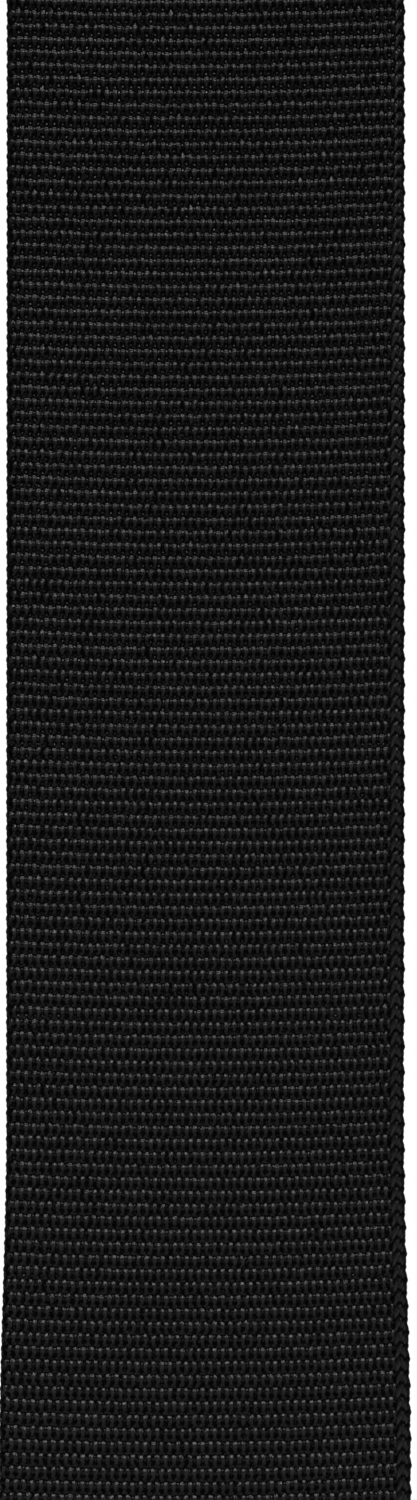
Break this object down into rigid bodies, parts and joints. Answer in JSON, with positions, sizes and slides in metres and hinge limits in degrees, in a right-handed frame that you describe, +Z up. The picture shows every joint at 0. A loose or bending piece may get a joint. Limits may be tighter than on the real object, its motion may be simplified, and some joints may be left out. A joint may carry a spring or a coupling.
{
  "type": "guitar strap",
  "caption": "Woven webbing shoulder strap with leather button-hole ends, a slide adjuster and a swivelling ring, hung over a shoulder.",
  "frame": {"origin": "middle of the arch's underside, where the strap lies on the shoulder", "axes": "+Z up, along the hanging legs; X across the webbing; front leg at -Y, back leg at +Y"},
  "size_m": [0.062, 0.1901, 0.5336],
  "materials": {
    "woven_webbing": "heavy ribbed weave, black",
    "black_leather": "fine grain, satin",
    "moulded_black": "moulded, low sheen",
    "black_thread": "bonded sewing thread"
  },
  "bodies": {
    "strap": {"main_webbing": "woven_webbing", "front_tab_face": "black_leather", "front_tab_lining": "black_leather", "front_box_needle_thread": "black_thread", "front_box_bobbin_thread": "black_thread", "front_edge_needle_thread": "black_thread", "front_edge_bobbin_thread": "black_thread"},
    "slider_body": {"slider": "moulded_black", "slider_loop_webbing": "woven_webbing", "slider_loop_needle_thread": "black_thread", "slider_loop_bobbin_thread": "black_thread"},
    "turn_body": {"ring_turn_webbing": "woven_webbing", "return_webbing": "woven_webbing"},
    "ring_body": {"ring": "moulded_black"},
    "tail_body": {"tail_webbing": "woven_webbing", "rear_tab_face": "black_leather", "rear_tab_lining": "black_leather", "rear_box_needle_thread": "black_thread", "rear_box_bobbin_thread": "black_thread", "rear_edge_needle_thread": "black_thread", "rear_edge_bobbin_thread": "black_thread"}
  },
  "joints": [
    {"name": "adjust_slide", "type": "slide", "parent": "strap", "child": "slider_body", "axis": [0, 0, -1], "range_m": [0, 0.36], "deforming": ["return_webbing"]},
    {"name": "ring_turn", "type": "slide", "parent": "strap", "child": "turn_body", "axis": [0, 0, -1], "range_m": [0, 0.18]},
    {"name": "ring_pivot", "type": "hinge", "parent": "turn_body", "child": "ring_body", "pos_m": [0, 0.0875, -0.405], "axis": [1, 0, 0], "range_deg": [-70, 70]},
    {"name": "tail_pivot", "type": "hinge", "parent": "ring_body", "child": "tail_body", "pos_m": [0, 0.0875, -0.423], "axis": [1, 0, 0], "range_deg": [-75, 75]}
  ],
  "couplings": [
    {"joint": "ring_turn", "follows": "adjust_slide", "ratio": 0.5}
  ]
}
